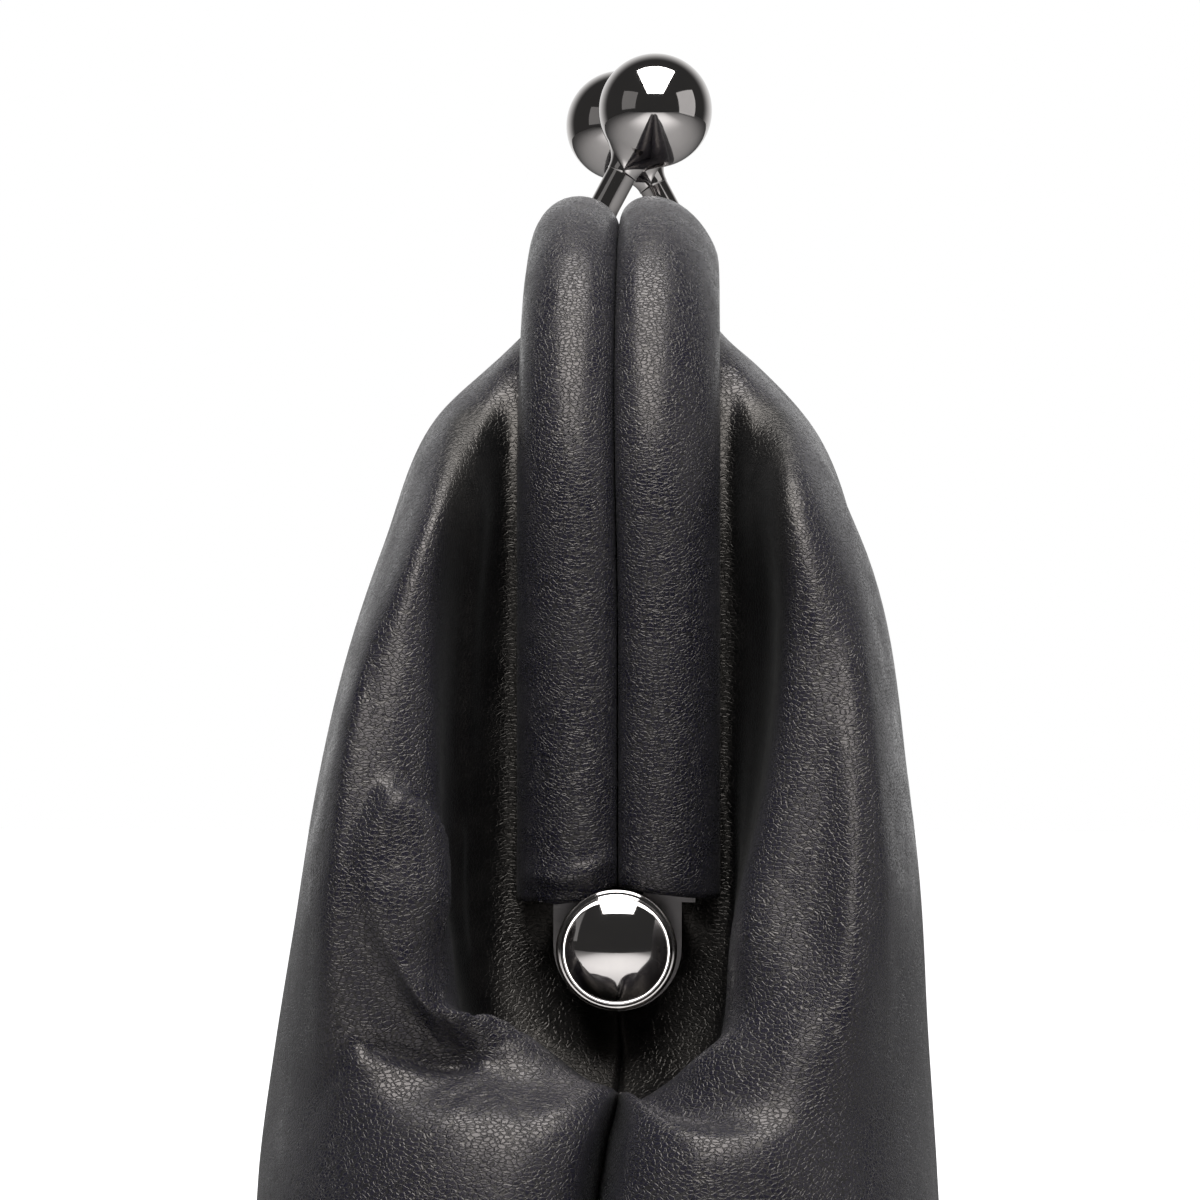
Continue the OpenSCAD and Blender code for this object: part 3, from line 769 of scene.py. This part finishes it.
def pocket_ruck(x, z):
    """Small upright rucks that grow towards the top of the pocket."""
    return 0.18 * (1 + np.sin(x * 0.9 + 2 * np.sin(z * 0.2))) * ease((z - 30) / 30)


def pocket_cloth():
    """The slip pocket, gaping a little at its top."""
    across = np.linspace(-POCKET_HALF, POCKET_HALF, 61)
    x, z = np.meshgrid(across, np.linspace(POCKET_TOP, POCKET_LOW, 33))
    grid = pocket_face(x, z, 0.12 + pocket_gape(x, z) + pocket_ruck(x, z))
    return sheet_piece("pocket_cloth", half_round(grid), CLOTH, LINING_CLOTH)


def pocket_binding():
    """A folded strip over the pocket's top edge."""
    x = np.linspace(-POCKET_HALF - 0.3, POCKET_HALF + 0.3, 90)
    turn = np.linspace(0, 2 * math.pi, 24, endpoint=False)
    rings = []
    for at in x:
        z = POCKET_TOP - 2.1 + 2.6 * np.sin(turn)
        mid = pocket_face(np.full(24, at), z, 0.75 + pocket_gape(np.full(24, at), z))
        mid[:, 1] += 0.5 * np.sign(np.cos(turn)) * np.abs(np.cos(turn)) ** 0.6
        rings.append(mid)
    return sweep_piece("pocket_binding", half_round(np.array(rings)), LINING_CLOTH)


def stitch_row(name, points, spacing):
    """Thread in stitches along a line of points, by a tree of nodes."""
    tree = bpy.data.node_groups.new(name, "GeometryNodeTree")
    face = tree.interface
    face.new_socket("Line", in_out="INPUT", socket_type="NodeSocketGeometry")
    sizes = {"Spacing": spacing, "Half stitch": 0.36 * spacing, "Thread radius": 0.16}
    inlet = {label: face.new_socket(label, in_out="INPUT", socket_type="NodeSocketFloat")
             for label in sizes}
    face.new_socket("Thread", in_out="OUTPUT", socket_type="NodeSocketGeometry")
    line, gap, half_stitch, radius = add_node(tree, "NodeGroupInput")[:4]
    curve = add_node(tree, "GeometryNodeMeshToCurve", None, line)[0]
    even = add_node(tree, "GeometryNodeResampleCurve", {"mode": "LENGTH"}, Curve=curve, Length=gap)[0]
    along = add_node(tree, "GeometryNodeInputTangent")[0]
    turn = add_node(tree, "FunctionNodeAlignRotationToVector", {"axis": "X"}, Vector=along)[0]
    size = add_node(tree, "ShaderNodeCombineXYZ", None, half_stitch, radius, radius)[0]
    bead = add_node(tree, "GeometryNodeMeshIcoSphere", None, Radius=1.0, Subdivisions=2)[0]
    row = add_node(tree, "GeometryNodeInstanceOnPoints", None, Points=even, Instance=bead,
                   Rotation=turn, Scale=size)[0]
    real = add_node(tree, "GeometryNodeRealizeInstances", None, row)[0]
    done = add_node(tree, "GeometryNodeSetMaterial", None, Geometry=real, Material=THREAD)[0]
    add_node(tree, "NodeGroupOutput", None, done)

    mesh = bpy.data.meshes.new(name)
    edges = [(i, i + 1) for i in range(len(points) - 1)]
    mesh.from_pydata((np.asarray(points) * MM).tolist(), edges, [])
    piece = bpy.data.objects.new(name, mesh)
    bpy.context.scene.collection.objects.link(piece)
    grown = piece.modifiers.new("stitches", "NODES")
    grown.node_group = tree
    for label, value in sizes.items():
        grown[inlet[label].identifier] = value * MM
    bpy.context.view_layer.update()
    ready = piece.evaluated_get(bpy.context.evaluated_depsgraph_get())
    piece.data = bpy.data.meshes.new_from_object(ready)
    piece.modifiers.clear()
    piece.data.polygons.foreach_set("use_smooth", [True] * len(piece.data.polygons))
    return piece


def pocket_stitches():
    """One row round the sides and bottom of the pocket, and one along its binding."""
    edge = POCKET_HALF - HEM
    low = POCKET_LOW + HEM
    high = POCKET_TOP - 5
    x = np.concatenate([np.full(30, -edge), np.linspace(-edge, edge, 60), np.full(30, edge)])
    z = np.concatenate([np.linspace(high, low, 30), np.full(60, low), np.linspace(low, high, 30)])
    sides = pocket_face(x, z, 0.18 + CLOTH + pocket_gape(x, z) + pocket_ruck(x, z))
    x = np.linspace(-edge, edge, 60)
    z = np.full(60, POCKET_TOP - 3.6)
    top = pocket_face(x, z, 1.24 + pocket_gape(x, z))
    return [stitch_row("pocket_edge_stitches", half_round(sides), STITCH),
            stitch_row("pocket_binding_stitches", half_round(top), STITCH)]


# Frame pieces


def frame_path(steps_leg, steps_corner, steps_bar, low):
    """Middle line of a frame half, as length and height, with its outward directions."""
    points, outs = [], []
    for z in np.linspace(low, LEG_TOP, steps_leg, endpoint=False):
        points.append((LEG_X, z))
        outs.append((1, 0))
    for a in np.linspace(0, math.pi / 2, steps_corner, endpoint=False):
        points.append((BAR_HALF + CORNER_R * math.cos(a), LEG_TOP + CORNER_R * math.sin(a)))
        outs.append((math.cos(a), math.sin(a)))
    for x in np.linspace(BAR_HALF, 0, steps_bar):
        points.append((x, BAR_Z))
        outs.append((0, 1))
    half = np.array(points)
    out = np.array(outs, float)
    flip = np.array([-1, 1])
    return (np.concatenate([half, half[-2::-1] * flip]),
            np.concatenate([out, out[-2::-1] * flip]))


def swept(section, path, outs):
    """Rings [along, round, 3] of a section [(u, v)] carried along the frame."""
    u, v = section[:, 0], section[:, 1]
    x = path[:, :1] + outs[:, :1] * u
    z = path[:, 1:] + outs[:, 1:] * u
    y = np.broadcast_to(ROLL_Y + v, x.shape)
    return np.stack([x, y, z], -1)


def roll_outline(inset, steps=14):
    """Outer line of the covered bar from one edge of its mouth to the other: tight at the
    shut line, fuller at the outside."""
    half = ROLL_HALF - inset
    top = OUT_U - inset
    low = IN_U + inset
    turn = np.radians(np.linspace(0, 90, steps))
    tight = np.column_stack([top - TIGHT_R + TIGHT_R * np.sin(turn),
                             ROLL_CROWN + (half - ROLL_CROWN) * np.cos(turn)])
    full = np.column_stack([top - FULL_R + FULL_R * np.sin(turn),
                            ROLL_CROWN - (half + ROLL_CROWN) * np.cos(turn)])
    turn = np.radians(np.linspace(0, 90, 5))
    lip = np.column_stack([low + LIP_R - LIP_R * np.cos(turn), half - LIP_R + LIP_R * np.sin(turn)])
    mouth = np.array([low, LIP_R])
    return np.concatenate([[mouth], lip, tight, full[-2::-1], lip[-2::-1] * (1, -1),
                           [mouth * (1, -1)]])


def settled(grid, section):
    """Leans the padded crown over at the corners and shapes the cut ends of the leather: a
    turned flap at the folded end and a slanted cut at the full one."""
    x, y, z = (grid[..., k] for k in range(3))
    way = np.sign(x)
    crown = np.clip(section[:, 0] / OUT_U, 0, 1)
    corner = ease((z - 126) / 24) * ease(np.abs(x) / 60)
    across = np.clip((y - ROLL_Y) / ROLL_HALF, -1, 1)
    low = ease((LEG_END + 9 - z) / 9)
    flap = 1.15 * ease((across - 0.2) / 0.8) + 0.1 * np.sin(9 * across)
    cut = 0.65 + 0.55 * across
    ridge = 0.5 * np.exp(-((z - 107.9 - 0.4 * across) / 0.75) ** 2) - 0.45 * ease((107.2 - z) / 1.3)
    x = x + way * crown * np.where(x > 0, ridge, -0.3 * ease((106.8 - z) / 1.0))
    up = 0.55 * crown * ease((z - 148) / 12) + low * np.where(x > 0, flap, cut)
    return np.stack([x, y - 0.75 * way * crown * corner, z + up], -1)


def sleeve(name, rear):
    """The leather tube over a frame half, open along its mouth."""
    path, outs = frame_path(60, 22, 24, LEG_END)
    outer = settled(swept(roll_outline(0), path, outs), roll_outline(0))
    inner = settled(swept(roll_outline(SLEEVE_WALL), path, outs), roll_outline(SLEEVE_WALL))
    if rear:
        outer, inner = half_round(outer), half_round(inner)
    return walled_piece(name, outer, inner, SLEEVE_LEATHER)


def foam_padding(name, rear):
    """Foam over the back and sides of the channel, inside the leather."""
    path, outs = frame_path(24, 20, 20, LEG_END + 1.6)
    roll = roll_outline(SLEEVE_WALL + 0.1)
    roll = roll[roll[:, 0] > -2.2]
    bore = np.array([(-2.2, -2.2), (2.0, -2.2), (2.45, -1.8), (2.45, 1.8), (2.0, 2.2), (-2.2, 2.2)])
    section = np.concatenate([roll, bore])[::-1]
    rings = settled(swept(section, path, outs), section)
    return sweep_piece(name, half_round(rings) if rear else rings, FOAM)


def paper_twist(name, rear):
    """Two plies of twisted paper, pressed into the channel's mouth."""
    path, outs = frame_path(90, 60, 110, LEG_END + 1.4)
    run = np.concatenate([[0], np.cumsum(np.linalg.norm(np.diff(path, axis=0), axis=1))])[:, None]
    turn = np.linspace(0, 2 * math.pi, 16, endpoint=False)
    radius = CORD_R * (0.93 + 0.07 * np.cos(2 * turn))
    at = turn + run * 2 * math.pi / CORD_PITCH
    out = CORD_U + radius * np.cos(at)
    rings = np.stack([path[:, :1] + outs[:, :1] * out, ROLL_Y + radius * np.sin(at),
                      path[:, 1:] + outs[:, 1:] * out], -1)
    return sweep_piece(name, half_round(rings) if rear else rings, PAPER_CORD)


def kiss_ball(name, rear):
    """A pear shaped ball: a sphere that flares down into its stem."""
    lean = (0, math.sin(STEM_LEAN), math.cos(STEM_LEAN))
    profile = []
    for h in np.linspace(0, 1, 10):
        profile.append((1.64 + 1.14 * h ** 2.4, -7.6 + 2.2 * h))
    for a in np.linspace(-60, 89.5, 36):
        profile.append((BALL_R * math.cos(math.radians(a)), BALL_R * math.sin(math.radians(a))))
    rings = lathe_rings(profile, (BALL_X, BALL_Y, BALL_Z), lean, (1, 0, 0), 72)
    if rear:
        rings = half_round(rings)
    return sweep_piece(name, rings, DARK_CHROME)


def ball_stem(name, rear):
    """A round stem that rises from the bar, bends and leans over the shut line."""
    bend_dy = BEND_R * (1 - math.cos(STEM_LEAN))
    bend_dz = BEND_R * math.sin(STEM_LEAN)
    run = BALL_Y - ROLL_Y - bend_dy
    bend_z = BALL_Z - run / math.tan(STEM_LEAN) - bend_dz
    line = [(ROLL_Y, z, 0.0) for z in np.linspace(163.2, bend_z, 5)]
    for a in np.linspace(0, STEM_LEAN, 9)[1:]:
        line.append((ROLL_Y + BEND_R * (1 - math.cos(a)), bend_z + BEND_R * math.sin(a), a))
    reach = run / math.sin(STEM_LEAN) - BALL_R + 1
    for t in np.linspace(0, 1, 8)[1:]:
        line.append((line[12][0] + t * reach * math.sin(STEM_LEAN),
                     line[12][1] + t * reach * math.cos(STEM_LEAN), STEM_LEAN))
    turn = np.linspace(0, 2 * math.pi, 40, endpoint=False)
    rings = []
    for y, z, a in line:
        across = np.array([0, math.cos(a), -math.sin(a)])
        rings.append(np.array([BALL_X, y, z]) + STEM_R * (
            np.cos(turn)[:, None] * np.array([1, 0, 0]) + np.sin(turn)[:, None] * across))
    rings = np.array(rings)
    if rear:
        rings = half_round(rings)
    return sweep_piece(name, rings, DARK_CHROME)


def hinge_cap(name, left):
    """A domed rivet cap: boss, rim, step ring and dome."""
    steps = rounded([(1.6, 92.5), (3.0, 92.5), (3.0, 94.5), (4.7, 94.5), (4.85, 94.7),
                     (4.85, 95.0), (4.62, 95.12), (4.42, 95.12), (4.42, 95.4), (4.15, 95.42)],
                    0.12, 4)
    ball = (4.15 ** 2 + DOME_H ** 2) / (2 * DOME_H)
    lip = math.asin(4.15 / ball)
    dome = [(ball * math.sin(a), 95.42 + DOME_H - ball + ball * math.cos(a))
            for a in np.linspace(lip, 0.004, 26)]
    rings = lathe_rings(steps + dome, (0, 0, HINGE_Z), (1, 0, 0), (0, 0, 1), 96)
    if left:
        rings = half_round(rings)
    return sweep_piece(name, rings, DARK_CHROME)


# Build


def dress(piece, slot, *nodes):
    """Hides the CAD nodes that a piece replaces. The slot is not used."""
    if nodes:
        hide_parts(*nodes)
    return piece


linings = {}
for side, body, rear in (("front", "front_frame", False), ("rear", "rear_frame", True)):
    leather = dress(pouch_leather(side + "_leather", rear), "pouch_leather",
                    side + "_upper_panel", side + "_lower_panel")
    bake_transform(leather)
    lining = dress(pouch_lining(side + "_lining", rear), "lining_cloth",
                   side + "_upper_lining", side + "_lower_lining")
    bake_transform(lining)
    linings[side] = lining
    cover = dress(sleeve(side + "_sleeve", rear), "sleeve_leather", side + "_frame_sleeve")
    foam_pad = dress(foam_padding(side + "_foam", rear), "foam", side + "_frame_padding")
    for padded in (cover, foam_pad):
        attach(padded, body)
    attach(dress(paper_twist(side + "_paper_twist", rear), "paper_cord", side + "_frame_cord"), body)
    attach(dress(kiss_ball(side + "_kiss_ball", rear), "dark_chrome", side + "_ball"), body)
    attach(dress(ball_stem(side + "_stem", rear), "dark_chrome", side + "_ball_stem"), body)

for side in ("left", "right"):
    cap = hinge_cap(side + "_cap", side == "left")
    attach(dress(cap, "dark_chrome", side + "_hinge_cap"), "pouch")

for side, lining in linings.items():
    side + "_frame_channel"

base_leather = foot_slab("base_leather", 1.45, 0.0, BASE_LEATHER_TOP, 0.4, POUCH_LEATHER)
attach(dress(base_leather, "pouch_leather", "base_panel"), "pouch")
stiffener = foot_slab("base_stiffener", 1.8, BOARD_LOW, BOARD_TOP, 0.2, STIFFENER)
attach(dress(stiffener, "stiffener", "base_board"), "pouch")
laid_cloth = dress(base_cloth(), "lining_cloth", "base_lining")
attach(laid_cloth, "pouch")
pocket = dress(pocket_cloth(), "lining_cloth", "slip_pocket")
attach(pocket, "pouch")
for trim in (pocket_binding(), *pocket_stitches()):
    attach(dress(trim, "lining_cloth"), "pouch")

NODE_FINISHES = {
    "frame_channel": FRAME_STEEL, "hinge_pin": RIVET_STEEL, "hinge_washer": RIVET_STEEL}
for name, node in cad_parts.items():
    for part, finish in NODE_FINISHES.items():
        if name.endswith(part):
            node.data.materials.clear()
            node.data.materials.append(finish)

# Studio


def softbox(name, at, aim, width, height, watts):
    """A rectangular lamp, all in metres, turned to a point."""
    lamp_data = bpy.data.lights.new(name, "AREA")
    lamp_data.shape = "RECTANGLE"
    lamp_data.size = width
    lamp_data.size_y = height
    lamp_data.energy = watts
    lamp = bpy.data.objects.new(name, lamp_data)
    lamp.location = at
    lamp.rotation_euler = (Vector(aim) - Vector(at)).to_track_quat("-Z", "Y").to_euler()
    bpy.context.scene.collection.objects.link(lamp)


softbox("overhead_softbox", (0.35, 0.01, 0.58), (0.29, 0.0101, 0.0), 0.42, 0.72, 9.1)
softbox("left_softbox", (0.50, -0.70, 0.40), (0.09, 0, 0.11), 0.5, 0.5, 0.2)
softbox("right_softbox", (0.30, 0.75, 0.32), (0.09, 0, 0.11), 0.60, 0.6, 0.9)


def studio_floor():
    """A pale floor, white to the camera, that keeps the purse's shadow."""
    mesh = bpy.data.meshes.new("studio_floor")
    corners = [(-1.4, -1.4, 0), (0.9, -1.4, 0), (0.9, 1.4, 0), (-1.4, 1.4, 0)]
    mesh.from_pydata(corners, [], [(0, 1, 2, 3)])
    floor = bpy.data.objects.new("studio_floor", mesh)
    bpy.context.scene.collection.objects.link(floor)
    f = Finish("floor_white", Roughness=0.9, Specular_IOR_Level=0.1, Emission_Strength=1.0)
    rays = f.add("ShaderNodeLightPath")
    at = f.add("ShaderNodeSeparateXYZ", None, f.place)
    card = f.between(at[0], 0.1, 0.34) * f.between(at[1] * at[1], 0.02, 0.16, 1, 0)
    f.feed("Base Color", f.mix(card.most(rays[0]), (0.4, 0.4, 0.4), (0.82, 0.82, 0.82)))
    far = f.between(f.add("ShaderNodeVectorMath", {"operation": "LENGTH"}, f.place)[1], 0.2, 0.34,
                    0.55, 1.05)
    f.feed("Emission Color", f.mix(rays[0] * far, (0, 0, 0), (1, 1, 1)))
    mesh.materials.append(f.material)


def studio_world():
    """White round the object and dim behind the camera, so that the metal has contrast."""
    world = bpy.data.worlds.new("studio_world")
    world.use_nodes = True
    bpy.context.scene.world = world
    tree = world.node_tree
    tree.nodes.clear()

    rays = add_node(tree, "ShaderNodeLightPath")
    way = add_node(tree, "ShaderNodeTexCoord")[0]
    x = add_node(tree, "ShaderNodeSeparateXYZ", None, way)[0]
    back = add_node(tree, "ShaderNodeMapRange", {"interpolation_type": "SMOOTHSTEP"}, x, -0.4, -0.95,
                    0.05, 1.0)[0]
    strength = rays[0].most(rays[6]).most(rays[3] * back).most(rays[2] * 0.15)
    glow = add_node(tree, "ShaderNodeBackground", None, (1, 1, 1, 1), strength)[0]
    add_node(tree, "ShaderNodeOutputWorld", None, glow)


studio_floor()
studio_world()
bpy.context.scene.view_settings.view_transform = "Standard"
